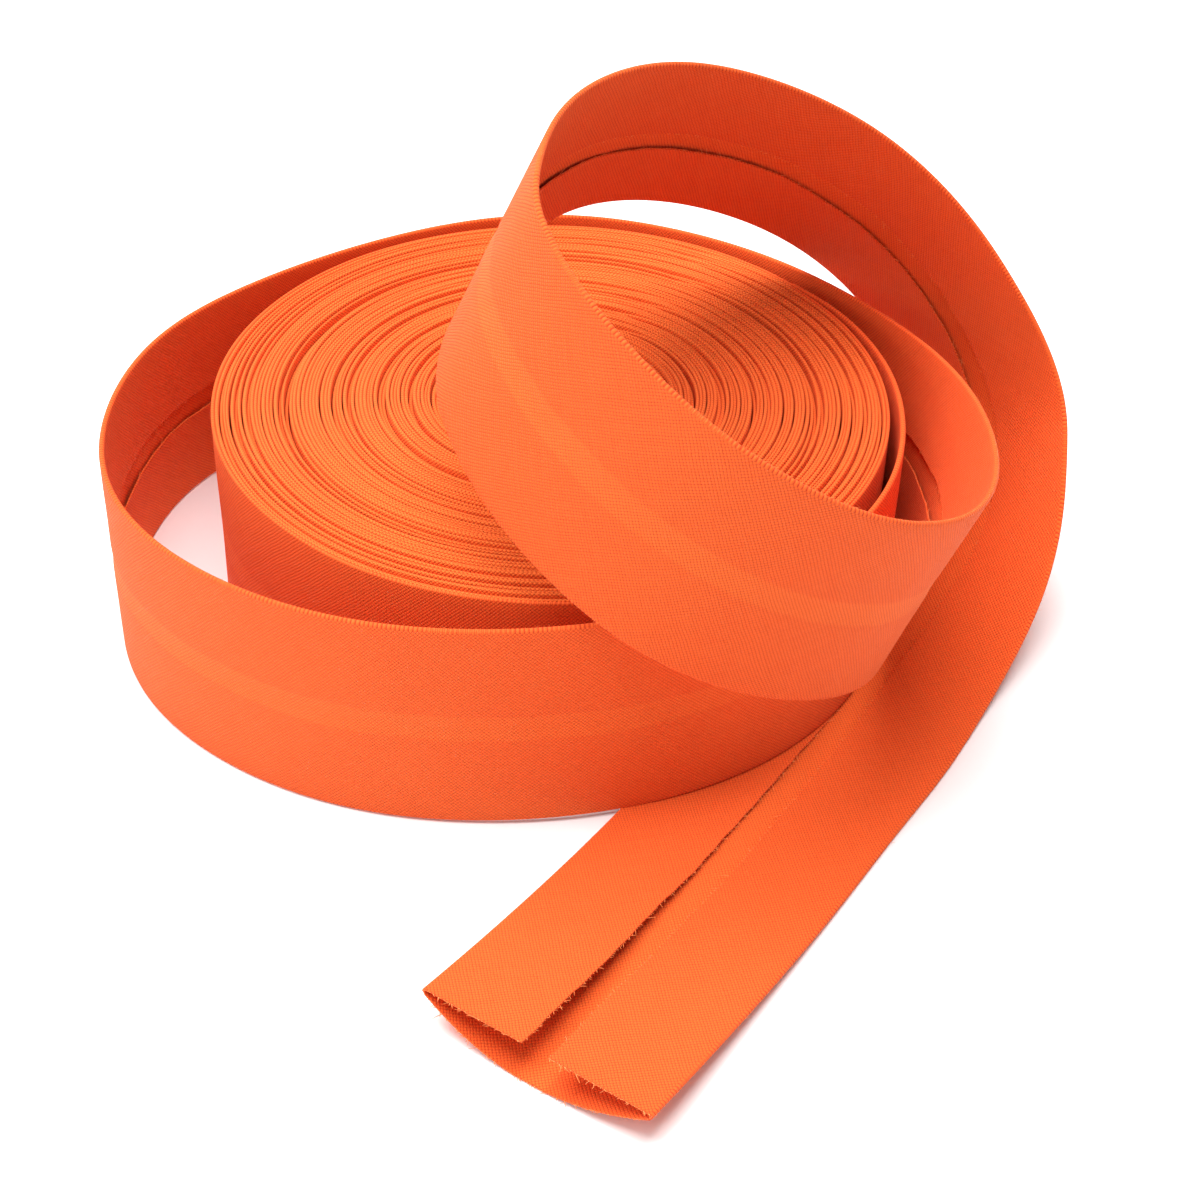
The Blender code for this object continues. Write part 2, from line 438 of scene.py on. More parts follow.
def loft(name: str, strip: Strip, across: np.ndarray, out: np.ndarray, flat: np.ndarray
         ) -> bpy.types.Object:
    """A closed skin through the outlines at the stations, with both ends shut.

    Point j of an outline faces point K - 1 - j over the thickness, so each end is shut by the strip of
    quads between them.

    Args:
        name: The piece's name.
        strip: The stations.
        across: Outline places over the width, a row for each station.
        out: Outline places outwards, a row for each station.
        flat: Place over the unfolded width of each outline point, with the first one's again at the end.

    Returns:
        The piece, its faces outwards.
    """
    points = strip.points(across, out)
    rows, columns = across.shape
    index = np.arange(rows * columns).reshape(rows, columns)
    following = np.roll(index, -1, axis=1)
    skin = np.stack([index[:-1], following[:-1], following[1:], index[1:]], axis=-1).reshape(-1, 4)
    j = np.arange(columns // 2 - 1)
    shut = [np.stack([row[j], row[columns - 1 - j], row[columns - 2 - j], row[j + 1]], axis=-1)
            for row in (index[0], index[-1])]
    shut[1] = shut[1][:, ::-1]
    faces = np.concatenate([skin, *shut])
    column = np.arange(columns)
    u = np.stack([flat[column], flat[column + 1], flat[column + 1], flat[column]], axis=-1)
    u = np.broadcast_to(u, (rows - 1, columns, 4))
    v = np.stack([strip.along[:-1], strip.along[:-1], strip.along[1:], strip.along[1:]], axis=-1)
    v = np.broadcast_to(v[:, None], (rows - 1, columns, 4))
    skin_uv = np.stack([u, v], axis=-1).reshape(-1, 2)
    columns_of = faces[len(skin):].ravel() % columns
    ends = np.repeat([strip.along[0], strip.along[-1]], len(j) * 4)
    shut_uv = np.stack([flat[columns_of], ends], axis=-1)
    solid = points.reshape(-1, 3)
    first, second, third = (solid[faces[:, corner]] for corner in range(3))
    if np.einsum("ij,ij->", first, np.cross(second, third)) < 0:
        faces = faces[:, ::-1]
        skin_uv = skin_uv.reshape(-1, 4, 2)[:, ::-1].reshape(-1, 2)
        shut_uv = shut_uv.reshape(-1, 4, 2)[:, ::-1].reshape(-1, 2)
    return mesh_piece(name, solid, faces, np.concatenate([skin_uv, shut_uv]))


@dataclass
class FoldedSection:
    """The strip's section: an outer layer, and a flap folded in from each side to a raw edge.

    A section is a line through the middle of the cloth, from one raw edge to the other, and the cloth's
    thickness is laid on both sides of it.
    """

    width: float = 30.0 * MM
    raw_gap: float = 3.8 * MM
    cloth: float = 0.22 * MM
    flap_points: int = 10
    fold_points: int = 5
    outer_points: int = 27
    reach: np.ndarray = field(init=False)
    turn: np.ndarray = field(init=False)
    level: np.ndarray = field(init=False)

    def __post_init__(self) -> None:
        """Lay out the line's points.

        reach runs over the width from -1 at one fold to 1 at the other, turn is the angle about the
        fold's centre (a quarter turn inwards to a quarter turn outwards), and level is 1 on the outer
        layer, 0 on the flaps.
        """
        gap = self.raw_gap / self.width
        even = np.linspace(0, 1, self.flap_points)
        crowded = (1 - np.cos(even * np.pi)) / 2
        flap = gap + (1 - gap) * (even + crowded) / 2
        quarter = np.linspace(-np.pi / 2, np.pi / 2, self.fold_points + 2)[1:-1]
        outer = np.linspace(-1, 1, self.outer_points)
        fold = np.ones(self.fold_points)
        zero, one = np.zeros(self.flap_points), np.ones(self.outer_points)
        self.reach = np.concatenate([-flap, -fold, outer, fold, flap[::-1]])
        self.turn = np.concatenate([zero - np.pi / 2, quarter, one * np.pi / 2, quarter[::-1],
                                    zero - np.pi / 2])
        self.level = np.concatenate([zero, fold * 0.5, one, fold * 0.5, zero])

    def flat_place(self) -> np.ndarray:
        """Place of each point over the unfolded width, the strip's middle being 0."""
        half, side = self.width / 2, np.sign(self.reach)
        folded_in = side * (2 - np.abs(self.reach)) * half
        return np.where(self.level == 1, self.reach * half, folded_in)

    def raw_edge(self) -> np.ndarray:
        """How near each point is to its raw edge: 0 at the fold, 1 at the edge, 0 on the outer layer."""
        gap = self.raw_gap / self.width
        return np.where(self.level == 0, (1 - np.abs(self.reach)) / (1 - gap), 0.0)

    def line(self, fold_radius: np.ndarray) -> tuple[np.ndarray, np.ndarray]:
        """The line through the middle of the cloth.

        Args:
            fold_radius: Radius of the folds, for each station.

        Returns:
            across and out of each point, a row for each station. Across is the reach to the fold's
            centre plus the radius times cos(turn), and out is the radius times sin(turn) less what puts
            the outer layer's outer face at 0.
        """
        radius = np.asarray(fold_radius)[:, None]
        centre = self.width / 2 - radius - self.cloth / 2
        on_fold = self.level == 0.5
        bulge = np.where(on_fold, np.sign(self.reach) * np.cos(self.turn), 0)
        across = self.reach * centre + bulge * radius
        out = radius * (np.sin(self.turn) - 1) - self.cloth / 2
        return across, out

    def outline(self, across: np.ndarray, out: np.ndarray) -> tuple[np.ndarray, np.ndarray]:
        """Both sides of the cloth: the line moved by half the thickness along its own normals.

        Args:
            across: The line's places over the width, a row for each station.
            out: Its places outwards.

        Returns:
            The closed outline's across and out.
        """
        run, rise = np.gradient(across, axis=1), np.gradient(out, axis=1)
        size = np.hypot(run, rise)
        side, lift = -rise / size * self.cloth / 2, run / size * self.cloth / 2
        both_across = np.concatenate([across + side, (across - side)[:, ::-1]], axis=1)
        both_out = np.concatenate([out + lift, (out - lift)[:, ::-1]], axis=1)
        return both_across, both_out

    def outline_flat(self) -> np.ndarray:
        """Place over the unfolded width of each outline point, the first one's again at the end."""
        flat = self.flat_place()
        return np.concatenate([flat, flat[::-1], flat[:1]])


# ------------------------------------------------------------------------------------------- the roll


@dataclass
class WoundRoll:
    """Turns of folded tape wound on edge, clockwise from the core outwards as seen from above."""

    axis: Vector
    core_radius: float = 12.1 * MM
    pitch: float = 0.5 * MM
    turns: int = 65
    middle_turn: int = 33
    steps: int = 160
    folded_steps: int = 240
    width: float = 29.9 * MM
    end_azimuth_deg: float = 40.0
    relief_azimuth_deg: float = -35.6
    relief_from: float = 31.0 * MM
    relief_height: float = 0.95 * MM
    relief_rise: float = 2.0 * MM
    level_seed: int = 11
    level_scatter: float = 0.085
    level_step: float = 0.1
    spacing_waves: Waves = ((0.035 * MM, 1.37, 0.4), (0.04 * MM, 2.9, 2.1), (0.05 * MM, 7.3, 1.0),
                            (0.012 * MM, 0.211, 0.3))
    level_waves: Waves = ((0.05, 1.9 / 7, 0.0), (0.035, 0.83 / 7, 1.3), (0.02, 3.7 / 7, 2.0))
    seat_waves: Waves = ((0.12 * MM, 1.7 / 3, 0.5), (0.08 * MM, 0.3, 2.0))
    buckle_waves: Waves = ((0.05 * MM, 0.031, 0.2), (0.04 * MM, 0.017, 1.1))
    buckle_slant: float = 0.7
    bands: tuple[tuple[float, float], ...] = ((12.0, -0.5), (16.0, -0.35), (21.0, 0.1), (27.0, -0.1),
                                              (34.0, 0.12), (36.0, 0.0), (41.0, 0.15), (44.6, -0.1))
    grooves: tuple[tuple[int, float], ...] = ((3, 0.8), (6, 0.9), (7, 0.5), (13, 0.9), (20, 0.75),
                                              (21, 0.5), (29, 0.8), (33, 0.5), (44, 0.5), (45, 1.25),
                                              (47, 0.95), (55, 0.5), (58, 0.6), (62, 0.4))
    top_angles: tuple[float, ...] = (0, 32, 58, 82)
    under_angles: tuple[float, ...] = (-75, 0)
    ridge_share: float = 0.49
    ridge_point: float = 1.25
    folded_share: float = 0.48
    peel: float = 1.6 * MM
    peel_turns: float = 0.22
    flat_shift: float = 0.271

    def radius(self, turn: np.ndarray) -> np.ndarray:
        """Radius of a turn's outer face: a spiral of even pitch, its spacing a little uneven."""
        return self.core_radius + self.pitch * turn + ripple(turn, self.spacing_waves)

    def azimuth(self, turn: np.ndarray) -> np.ndarray:
        """Azimuth in radians: the last turn ends at end_azimuth_deg, and turns go clockwise."""
        return math.radians(self.end_azimuth_deg) + 2 * np.pi * (self.turns - turn)

    def level(self, turn: np.ndarray) -> np.ndarray:
        """How far a turn's upper fold stands above the common top.

        Each whole turn has its own level: its band's, less its groove's depth, plus a small random
        part. A turn passes smoothly to the next one's level at its end. Bands are pairs of radius and
        level, grooves are pairs of turn and depth, all in millimetres.
        """
        whole = np.arange(self.turns + 2)
        radii = self.radius(whole + 0.5) / MM
        random = np.random.default_rng(self.level_seed).normal(0, self.level_scatter, len(whole))
        levels = np.interp(radii, *zip(*self.bands)) + random
        for groove, depth in self.grooves:
            levels[groove] -= depth
        start = np.floor(turn).astype(int)
        part = smooth_step((turn - start - 1) / self.level_step + 1)
        shake = ripple(turn, self.level_waves)
        return (levels[start] * (1 - part) + levels[start + 1] * part + shake) * MM

    def under_lift(self, places: np.ndarray) -> np.ndarray:
        """How far the lower folds are raised where the flat run passes below the rim."""
        azimuth = math.radians(self.relief_azimuth_deg)
        heading = np.array([math.cos(azimuth), math.sin(azimuth)])
        from_axis = (places[:, :2] - np.array([self.axis.x, self.axis.y])) @ heading
        return self.relief_height * smooth_step((from_axis - self.relief_from) / self.relief_rise)

    def strip(self, turn: np.ndarray, radius: np.ndarray) -> Strip:
        """Stations on edge at these turns and radii, their middle line at half the tape's height."""
        azimuth = self.azimuth(turn)
        outward = np.stack([np.cos(azimuth), np.sin(azimuth), 0 * azimuth], axis=-1)
        face = outward * radius[:, None] + np.array([self.axis.x, self.axis.y, self.width / 2])
        upright = np.broadcast_to((0.0, 0.0, 1.0), face.shape)
        steps = np.linalg.norm(np.diff(face, axis=0), axis=1)
        length = np.concatenate([[0.0], np.cumsum(steps)])
        return Strip(face, upright, outward, length + self.flat_shift * turn[0])

    def solid_turns(self, name: str, first: float, last: float) -> bpy.types.Object:
        """Closed rounded bars, a turn's two folds and its faces, from one turn to another.

        The outline's folds are pointed half rounds: across is the fold's centre plus ridge_point * h *
        sin(angle), out is h * cos(angle), h being half the room that the neighbours leave.

        Args:
            name: The piece's name.
            first: Turn at which it starts.
            last: Turn at which it ends.

        Returns:
            The piece.
        """
        turn = np.linspace(first, last, int((last - first) * self.steps) + 1)
        inner_room = self.radius(turn) - self.radius(turn - 1)
        outer_room = self.radius(turn + 1) - self.radius(turn)
        half = self.ridge_share * np.minimum(inner_room, outer_room)
        strip = self.strip(turn, self.radius(turn))
        lift = self.under_lift(strip.face) + np.abs(ripple(turn, self.seat_waves))
        angles = np.radians(self.under_angles + self.top_angles)
        top = angles >= 0
        top[len(self.under_angles) - 1] = False
        upper_centre = self.width / 2 + self.level(turn) - self.ridge_point * half
        lower_centre = -self.width / 2 + lift + half
        fold_centre = np.where(top, upper_centre[:, None], lower_centre[:, None])
        across = fold_centre + self.ridge_point * half[:, None] * np.sin(angles)
        side = half[:, None] * np.cos(angles)
        both_across = np.concatenate([across, across[:, ::-1]], axis=1)
        both_out = np.concatenate([side, -side[:, ::-1]], axis=1) - half[:, None]
        steps = np.hypot(np.diff(both_across[0]), np.diff(both_out[0]))
        flat = np.concatenate([[0.0], np.cumsum(steps)])
        flat = np.append(flat, flat[-1] + half[0])
        return loft(name, strip, both_across, both_out, flat)

    def folded_turn(self, name: str, first: float, last: float, peel: float) -> bpy.types.Object:
        """A turn with its flaps modelled, for a face that is seen.

        Args:
            name: The piece's name.
            first: Turn at which it starts.
            last: Turn at which it ends.
            peel: How far its first end leaves the next turn, towards the axis.

        Returns:
            The piece.
        """
        section = FoldedSection(width=self.width, outer_points=21)
        turn = np.linspace(first, last, int((last - first) * self.folded_steps) + 1)
        loose = np.clip(1 - (turn - first) / self.peel_turns, 0, None) ** 2
        strip = self.strip(turn, self.radius(turn) - peel * loose)
        half = self.folded_share * (self.radius(turn) - self.radius(turn - 1))
        across, out = section.line(half - section.cloth / 2)
        lift = self.under_lift(strip.face)
        upper = smooth_step(across / section.width + 0.5)
        across = across + upper * self.level(turn)[:, None] + (1 - upper) * lift[:, None]
        buckle = ripple(strip.along[:, None] + self.buckle_slant * across, self.buckle_waves)
        out = out + buckle * (1 - (across / section.width * 2) ** 2).clip(0) * section.level
        return loft(name, strip, *section.outline(across, out), section.outline_flat())

    def build(self, finishes: Finishes) -> list[bpy.types.Object]:
        """Make and dress the roll's pieces.

        Args:
            finishes: The finishes to wear.

        Returns:
            The pieces.
        """
        pieces = [
            self.folded_turn("core_turn", 0, 1, self.peel),
            self.solid_turns("inner_turns", 1, self.middle_turn),
            self.solid_turns("outer_turns", self.middle_turn, self.turns - 1),
            self.folded_turn("last_turn", self.turns - 1, self.turns, 0),
        ]
        # The wound turns wear the lighter folds finish, which carries painted highlight.
        worn = (finishes.cloth, finishes.folds, finishes.folds, finishes.cloth)
        for piece, finish in zip(pieces, worn):
            dress(piece, finish, Node.ROLL)
        return pieces


# -------------------------------------------------------------------------------------- the loose run

# Guide rows of the loose run, in millimetres from the roll's axis: x, y, height of the strip's middle,
# and bank in degrees, 0 where the strip stands on edge and 90 where it lies flat with its raw edges up.
GUIDE_ROWS_MM = (
    (33.7, 28.2, 15.0, 0), (39.5, 21.4, 15.1, 0), (43.6, 11.6, 15.4, 0),
    (46, -2, 15.8, 0), (43, -22, 15.9, 0), (29, -40, 15.9, 0), (6, -50, 15.7, 0),
    (-23, -50, 15.1, 0), (-46, -37, 15.1, 0), (-58, -18, 15.1, 0), (-57, 8, 15.1, -2),
    (-47, 26, 15.1, -8), (-21, 43, 15.1, 0), (4, 50, 15.1, 0), (33, 37, 15.1, 0),
    (50, 12, 16.5, 0), (50, -18, 23, 20), (45, -42, 28, 20), (29, -54, 36, 15), (12, -54, 46, -5),
    (-1, -44, 55, -15), (-7, -33, 60, -18), (-8, -25, 63, -25), (-4, -8, 64, -22),
    (9, 11, 63, -35), (34, 24, 51, -40), (54, 23, 34, -30), (64, 10, 14, 30), (56, -4, 5, 72),
    (45, -19, 0.7, 90), (38, -32, 0.65, 90), (30, -43, 0.65, 90), (21, -57, 0.65, 90),
    (10, -73, 0.65, 90), (-1, -89, 0.65, 90),
)


@dataclass
class LooseRun:
    """The tape's loose run, from the roll's last turn to its cut end."""

    axis: Vector
    section: FoldedSection = field(default_factory=FoldedSection)
    stations_per_row: int = 20
    face_offset: float = 0.65 * MM
    tight_fold: float = 0.13 * MM
    easy_fold: float = 0.24 * MM
    easing_length: float = 40.0 * MM
    mouth_depth: float = 4.4 * MM
    mouth_length: float = 50.0 * MM
    flat_width: float = 57.0 * MM
    gap_dip: float = 0.10 * MM
    gap_dip_reach: float = 1.7 * MM
    soft_share: float = 0.6
    soft_slant: float = 0.6
    soft_waves: Waves = ((0.10 * MM, 0.043, 0.6), (0.06 * MM, 0.019, 2.2), (0.03 * MM, 0.0083, 0.9))
    edge_curl: float = 0.10 * MM
    least_curl: float = 0.02 * MM
    curl_waves: Waves = ((0.06 * MM, 0.027, 0.3), (0.05 * MM, 0.0113, 1.7))
    curl_start: float = 0.01
    wander_waves: Waves = ((0.16 * MM, 0.061, 0.5), (0.07 * MM, 0.0173, 2.5), (0.04 * MM, 0.0047, 1.2))
    wander_start: float = 0.02
    strip: Strip = field(init=False)
    middle_line: tuple[np.ndarray, np.ndarray] = field(init=False)

    def route(self) -> np.ndarray:
        """Stations of a uniform cubic B-spline drawn by the guide rows, both ends included.

        Returns:
            x, y, z in metres and bank in degrees, a row for each station.
        """
        rows = np.array(GUIDE_ROWS_MM, dtype=float)
        guides = np.vstack([2 * rows[0] - rows[1], rows, 2 * rows[-1] - rows[-2]])
        gaps = len(rows) - 1
        place = np.linspace(0, gaps, gaps * self.stations_per_row + 1)
        start = np.minimum(place.astype(int), gaps - 1)
        part = (place - start)[:, None]
        weights = (
            (1 - part) ** 3 / 6,
            (3 * part ** 3 - 6 * part ** 2 + 4) / 6,
            (-3 * part ** 3 + 3 * part ** 2 + 3 * part + 1) / 6,
            part ** 3 / 6,
        )
        stations = sum(weight * guides[start + step] for step, weight in enumerate(weights))
        stations[:, :3] = stations[:, :3] * MM + np.array([self.axis.x, self.axis.y, 0])
        return stations

    def lay_strip(self) -> tuple[Strip, np.ndarray]:
        """The strip's stations on its outer face, and how far its end's folds are raised."""
        stations = self.route()
        steps = np.linalg.norm(np.diff(stations[:, :3], axis=0), axis=1)
        run = np.concatenate([[0.0], np.cumsum(steps)])
        to_end = run[-1] - run
        mouth = self.mouth_depth * np.clip(1 - to_end / self.mouth_length, 0, None) ** 2
        stations[:, 2] += mouth
        along = unit(np.gradient(stations[:, :3], axis=0))
        upright = unit(np.array([0.0, 0.0, 1.0]) - along[:, 2:3] * along)
        outward = np.cross(upright, along)
        bank = np.radians(stations[:, 3:4])
        width = np.cos(bank) * upright + np.sin(bank) * outward
        normal = np.cos(bank) * outward - np.sin(bank) * upright
        return Strip(stations[:, :3] + self.face_offset * normal, width, normal, run), mouth

    def shape_section(self, strip: Strip, mouth: np.ndarray) -> tuple[np.ndarray, np.ndarray]:
        """The section's line at each station, with its folds, its open end and its small unevenness.

        The outer layer sags by mouth * (1 - share²) at the open end, share running from -1 to 1 over
        the width. It dips a little between the raw edges, and wanders in slanting waves. Each flap
        curls inwards by the fourth power of the nearness to its raw edge, and the edge itself wanders.

        Args:
            strip: The stations.
            mouth: How far the end's folds are raised.

        Returns:
            across and out of the line through the middle of the cloth.
        """
        section = self.section
        free = smooth_step(strip.along / self.easing_length)
        across, out = section.line(self.tight_fold + (self.easy_fold - self.tight_fold) * free)
        outer, edge, side = section.level, section.raw_edge(), np.sign(section.reach)
        share = across / section.width * 2
        sag = np.where(outer == 1, np.clip(1 - share ** 2, 0, None), 0)
        dip = self.gap_dip * np.exp(-(across / self.gap_dip_reach) ** 4) * outer
        soft = ripple(strip.along[:, None] + self.soft_slant * across, self.soft_waves)
        flap_place = strip.along[:, None] * side
        curl = self.edge_curl + ripple(flap_place + self.curl_start, self.curl_waves)
        curl = np.clip(curl, self.least_curl, None) * edge ** 4
        wander = ripple(flap_place + self.wander_start, self.wander_waves)
        out = out + mouth[:, None] * sag - free[:, None] * (dip - soft * sag * self.soft_share + curl)
        return across + side * wander * edge ** 2, out

    def build(self, finishes: Finishes) -> bpy.types.Object:
        """Make and dress the loose run.

        Args:
            finishes: The finishes to wear.

        Returns:
            The piece.
        """
        self.strip, mouth = self.lay_strip()
        self.middle_line = self.shape_section(self.strip, mouth)
        outline = self.section.outline(*self.middle_line)
        piece = loft("loose_tape", self.strip, *outline, self.section.outline_flat())
        dress(piece, finishes.cloth, Node.RUN)
        return piece

    def edge_line(self, column: int) -> np.ndarray:
        """The line that one point of the section draws along the strip."""
        across, out = self.middle_line
        return self.strip.points(across[:, column:column + 1], out[:, column:column + 1])[:, 0]


@dataclass(frozen=True)
class ThreadSizes:
    """The sizes of one kind of thread: its lengths are a gamma draw, kept within limits."""

    spacing: float
    radius: float
    shape: float
    scale: float
    shortest: float
    longest: float

    def lengths(self, count: int, random: np.random.Generator) -> np.ndarray:
        """Lengths of this many threads."""
        return random.gamma(self.shape, self.scale, count).clip(self.shortest, self.longest) * MM


def joined(parts: list[tuple[np.ndarray, np.ndarray]]) -> tuple[np.ndarray, np.ndarray]:
    """Meshes put together: all their points, and their faces with the numbers moved up to match."""
    starts = np.cumsum([0] + [len(points) for points, _ in parts[:-1]])
    faces = [corners + start for (_, corners), start in zip(parts, starts)]
    return np.concatenate([points for points, _ in parts]), np.concatenate(faces)


@dataclass
class LooseThreads:
    """Short threads that stand out of the cloth's edges."""

    run: LooseRun
    seed: int = 5
    sides: int = 3
    rings: int = 4
    taper: float = 0.8
    root_depth: float = 0.05 * MM
    fuzz_offset: float = 0.1 * MM
    floor_gap: float = 0.02 * MM
    frayed: ThreadSizes = ThreadSizes(0.42 * MM, 0.04 * MM, 2.2, 0.16, 0.12, 1.5)
    cut: ThreadSizes = ThreadSizes(0.2 * MM, 0.05 * MM, 2.0, 0.17, 0.1, 1.4)
    fuzz: ThreadSizes = ThreadSizes(0.3 * MM, 0.014 * MM, 2.0, 0.09, 0.08, 0.55)

    def tufts(self, roots: np.ndarray, first: np.ndarray, bend: np.ndarray, length: np.ndarray,
              radius: float) -> tuple[np.ndarray, np.ndarray]:
        """Thin three-sided threads.

        A thread's line is root + length * (t * first + t² * bend), t going from 0 to 1, and its radius
        is the root's times the square root of 1 - taper * t.

        Args:
            roots: Where each thread starts.
            first: Direction in which it starts.
            bend: Direction in which it turns.
            length: Its length.
            radius: Its radius at the root.

        Returns:
            Points and faces.
        """
        part = np.linspace(0, 1, self.rings)[None, :, None]
        reach = part * first[:, None] + part ** 2 * bend[:, None]
        line = roots[:, None] + length[:, None, None] * reach
        along = unit(np.gradient(line, axis=1))
        side = unit(np.cross(along, np.array([0.31, 0.52, 0.79])))
        other = np.cross(along, side)
        angle = np.arange(self.sides) * 2 * np.pi / self.sides
        thin = radius * np.sqrt(1 - self.taper * part[..., None])
        ring = side[:, :, None] * np.cos(angle)[:, None] + other[:, :, None] * np.sin(angle)[:, None]
        points = line[:, :, None] + thin * ring
        count = len(roots)
        index = np.arange(count * self.rings * self.sides).reshape(count, self.rings, self.sides)
        following = np.roll(index, -1, axis=2)
        faces = np.stack([index[:, :-1], following[:, :-1], following[:, 1:], index[:, 1:]], axis=-1)
        return points.reshape(-1, 3), faces.reshape(-1, 4)

    def along_line(self, line: np.ndarray, spacing: float, random: np.random.Generator
                   ) -> tuple[np.ndarray, np.ndarray, np.ndarray]:
        """Roots at a jittered spacing along a line.

        Args:
            line: The line's points.
            spacing: Mean distance between threads.
            random: Source of the jitter.

        Returns:
            The roots, the line's direction at each, and the place of each among the stations.
        """
        steps = np.linalg.norm(np.diff(line, axis=0), axis=1)
        run = np.concatenate([[0.0], np.cumsum(steps)])
        count = int(run[-1] / spacing)
        place = np.sort((np.arange(count) + random.uniform(0, 1, count)) * run[-1] / count)
        station = np.interp(place, run, np.arange(len(line)))
        roots = np.stack([np.interp(place, run, line[:, k]) for k in range(3)], axis=-1)
        along = unit(np.gradient(line, axis=0))
        heading = [np.interp(station, np.arange(len(line)), along[:, k]) for k in range(3)]
        return roots, unit(np.stack(heading, axis=-1)), station

    def frame_at(self, station: np.ndarray) -> tuple[np.ndarray, np.ndarray]:
        """The strip's width direction and outward normal at places among the stations."""
        near = np.clip(np.round(station).astype(int), 0, len(self.run.strip.along) - 1)
        return self.run.strip.width[near], self.run.strip.normal[near]

    def raw_edges(self) -> tuple[np.ndarray, np.ndarray]:
        """Frayed threads that lie from each raw edge into the gap, at about 45 degrees."""
        parts = []
        last = len(self.run.section.reach) - 1
        for column, inward, offset in ((0, 1.0, 0), (last, -1.0, 1)):
            random = np.random.default_rng(self.seed + offset)
            line = self.run.edge_line(column)
            roots, heading, station = self.along_line(line, self.frayed.spacing, random)
            width, normal = self.frame_at(station)
            count = len(roots)
            slant = random.choice([-1.0, 1.0], count)[:, None] * random.uniform(0.6, 1.3, (count, 1))
            lift = normal * random.uniform(-0.25, 0.12, (count, 1))
            first = unit(width * inward + heading * slant + lift)
            bend = heading * random.uniform(-0.4, 0.4, (count, 1))
            bend = bend + normal * random.uniform(-0.1, 0.2, (count, 1))
            length = self.frayed.lengths(count, random)
            start = roots - first * self.root_depth
            parts.append(self.tufts(start, first, bend, length, self.frayed.radius))
        return joined(parts)

    def cut_end(self) -> tuple[np.ndarray, np.ndarray]:
        """Thread ends along the cut end, on both flaps and the outer layer."""
        across, out = self.run.middle_line
        line = self.run.strip.points(across, out)[-1]
        random = np.random.default_rng(self.seed + 7)
        roots, heading, _ = self.along_line(line, self.cut.spacing, random)
        forward = unit(self.run.strip.face[-1] - self.run.strip.face[-2])
        count = len(roots)
        slant = random.choice([-1.0, 1.0], count)[:, None] * random.uniform(0.5, 1.2, (count, 1))
        first = unit(forward + heading * slant + random.normal(0, 0.15, (count, 3)))
        bend = random.normal(0, 0.25, (count, 3)) * np.array([1, 1, 0.3])
        length = self.cut.lengths(count, random)
        return self.tufts(roots - first * self.root_depth, first, bend, length, self.cut.radius)

    def fold_fuzz(self) -> tuple[np.ndarray, np.ndarray]:
        """Fine fibres that stand off both folds."""
        parts = []
        folds = np.flatnonzero(self.run.section.level == 0.5)
        half = self.run.section.fold_points
        for column, offset in ((folds[half // 2], 2), (folds[half + half // 2], 3)):
            random = np.random.default_rng(self.seed + offset)
            line = self.run.edge_line(int(column))
            roots, heading, station = self.along_line(line, self.fuzz.spacing, random)
            width, normal = self.frame_at(station)
            side = math.copysign(1.0, self.run.section.reach[column])
            count = len(roots)
            lean = random.uniform(-1.2, 1.2, (count, 1))
            lift = normal * random.uniform(-0.9, 0.9, (count, 1))
            first = unit(width * side + heading * lean + lift)
            bend = heading * random.uniform(-0.8, 0.8, (count, 1))
            length = self.fuzz.lengths(count, random)
            start = roots + width * side * self.fuzz_offset
            parts.append(self.tufts(start, first, bend, length, self.fuzz.radius))
        return joined(parts)

    def build(self, finishes: Finishes) -> list[bpy.types.Object]:
        """Make and dress the loose threads.

        Args:
            finishes: The finishes to wear.

        Returns:
            The pieces.
        """
        made = {"raw_edge_threads": self.raw_edges(), "cut_end_threads": self.cut_end(),
                "fold_fuzz": self.fold_fuzz()}
        pieces = []
        for name, (points, faces) in made.items():
            points[:, 2] = np.maximum(points[:, 2], self.floor_gap)
            uv = points[faces.ravel()][:, [0, 1]]
            piece = mesh_piece(name, points, faces, uv)
            # The threads wear the lighter finish with its painted highlight.
            dress(piece, finishes.threads)
            pieces.append(piece)
        return pieces


# ------------------------------------------------------------------------------------------ the studio


@dataclass(frozen=True)
class Softbox:
    """A rectangular lamp that looks at a point."""

    name: str
    place: tuple[float, float, float]
    target: tuple[float, float, float]
    size: tuple[float, float]
    power: float
    colour: Colour = (1.0, 1.0, 1.0)

    def build(self, axis: Vector) -> bpy.types.Object:
        """Hang the lamp; places are from the roll's axis."""
        lamp = bpy.data.lights.new(self.name, "AREA")
        lamp.shape = "RECTANGLE"
        lamp.size, lamp.size_y = self.size
        lamp.energy = self.power
        lamp.color = self.colour
        item = bpy.data.objects.new(self.name, lamp)
        bpy.context.scene.collection.objects.link(item)
        middle = Vector((axis.x, axis.y, 0))
        item.location = Vector(self.place) + middle
        aim = Vector(self.target) - Vector(self.place)
        item.rotation_euler = aim.to_track_quat("-Z", "Y").to_euler()
        return item


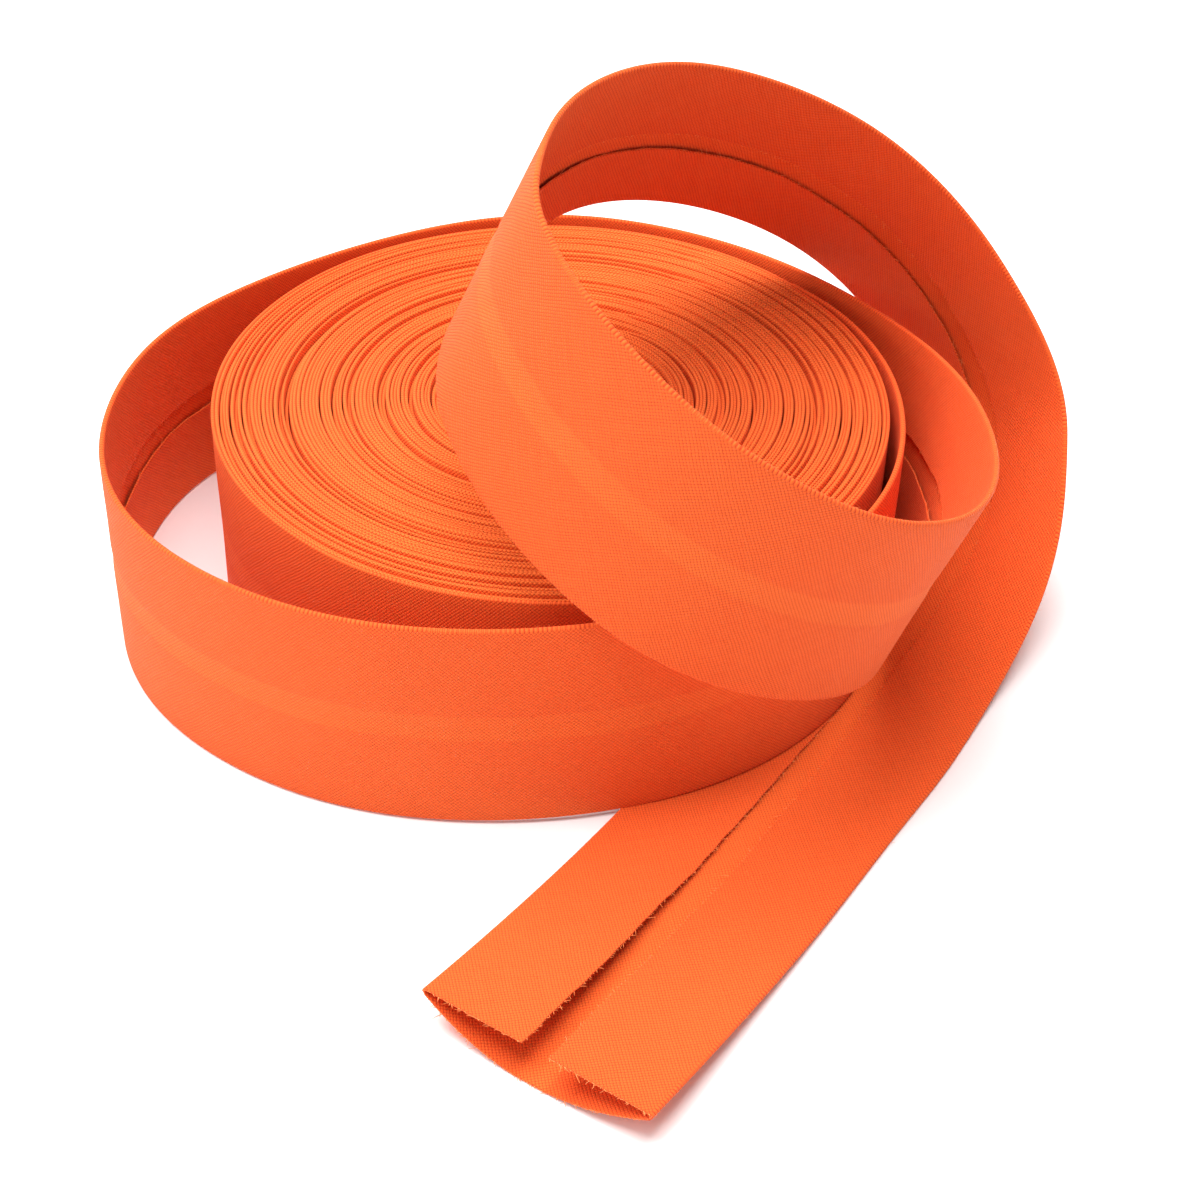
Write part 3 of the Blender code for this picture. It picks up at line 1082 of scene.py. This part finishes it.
@dataclass
class Studio:
    """Pale floor, soft lamps and the camera."""

    axis: Vector
    floor_half: float = 3.0
    floor_tones: tuple[float, float] = (0.93, 0.96)
    floor_grain: float = 9.0
    floor_roughness: float = 0.9
    floor_gloss: float = 0.1
    lamps: tuple[Softbox, ...] = (
        Softbox("overhead_softbox", (-0.10, 0.05, 0.75), (0.0, 0.0, 0.0), (0.75, 0.75), 12.0),
        Softbox("left_softbox", (-0.75, -0.25, 0.45), (0.0, 0.0, 0.03), (0.6, 0.6), 3.0),
    )
    sky_strength: float = 0.38
    focal_length: float = 64.45
    sensor: float = 36.0
    stand_off: float = 236.8 * MM
    height: float = 185.56 * MM
    pitch_deg: float = 38.832
    yaw_deg: float = 1.706
    roll_deg: float = 1.8405

    def build_floor(self) -> None:
        """A wide pale floor."""
        half = self.floor_half
        corners = np.array([(-half, -half, 0), (half, -half, 0), (half, half, 0), (-half, half, 0)])
        floor = mesh_piece("studio_floor", corners, np.array([[0, 1, 2, 3]]))
        material = bpy.data.materials.new("studio_white")
        material.use_nodes = True
        bench = Bench(material.node_tree)
        shader = material.node_tree.nodes["Principled BSDF"]
        place = bench.add("ShaderNodeTexCoord").outputs["Object"]
        grain = bench.noise(place, (self.floor_grain,) * 3, 3.0)
        dull, pale = ((tone, tone, tone, 1) for tone in self.floor_tones)
        tone = bench.mix(grain, dull, pale)
        bench.tree.links.new(tone, shader.inputs["Base Color"])
        shader.inputs["Roughness"].default_value = self.floor_roughness
        shader.inputs["Specular IOR Level"].default_value = self.floor_gloss
        floor.data.materials.append(material)

    def build_sky(self) -> None:
        """Even white light from all round."""
        world = bpy.data.worlds.new("studio_sky")
        world.use_nodes = True
        background = world.node_tree.nodes["Background"]
        background.inputs["Color"].default_value = (1.0, 1.0, 1.0, 1)
        background.inputs["Strength"].default_value = self.sky_strength
        bpy.context.scene.world = world

    def build_camera(self) -> None:
        """The camera: it stands in front of the roll's axis and looks down on it."""
        pitch, yaw, roll = (math.radians(a) for a in (self.pitch_deg, self.yaw_deg, self.roll_deg))
        ahead = Vector((math.sin(yaw), math.cos(yaw), 0))
        forward = math.cos(pitch) * ahead - math.sin(pitch) * Vector((0, 0, 1))
        level = Vector((math.cos(yaw), -math.sin(yaw), 0))
        above = level.cross(forward)
        right = math.cos(roll) * level + math.sin(roll) * above
        up = math.cos(roll) * above - math.sin(roll) * level
        lens = bpy.data.cameras.new("studio_camera")
        lens.lens = self.focal_length
        lens.sensor_width = self.sensor
        lens.clip_start, lens.clip_end = 0.01, 20.0
        camera = bpy.data.objects.new("studio_camera", lens)
        turn = Matrix((right, up, -forward)).transposed().to_4x4()
        place = Vector((self.axis.x, self.axis.y - self.stand_off, self.height))
        camera.matrix_world = Matrix.Translation(place) @ turn
        bpy.context.scene.collection.objects.link(camera)
        bpy.context.scene.camera = camera

    def build(self) -> None:
        """Set up the whole studio."""
        self.build_floor()
        self.build_sky()
        for lamp in self.lamps:
            lamp.build(self.axis)
        self.build_camera()
        bpy.context.scene.view_settings.view_transform = "Standard"
        LOG.info("studio: %d lamps", len(self.lamps))


def main() -> None:
    """Build the roll, its loose run and the studio."""
    logging.basicConfig(level=logging.INFO, format="%(name)s: %(message)s")
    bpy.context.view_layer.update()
    low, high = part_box(Node.ROLL.value)
    axis = (low + high) / 2
    Studio(axis).build()
    finishes = Finishes()
    turns = WoundRoll(axis).build(finishes)
    run = LooseRun(axis)
    tape = run.build(finishes)
    threads = LooseThreads(run).build(finishes)


if __name__ == "__main__":
    main()
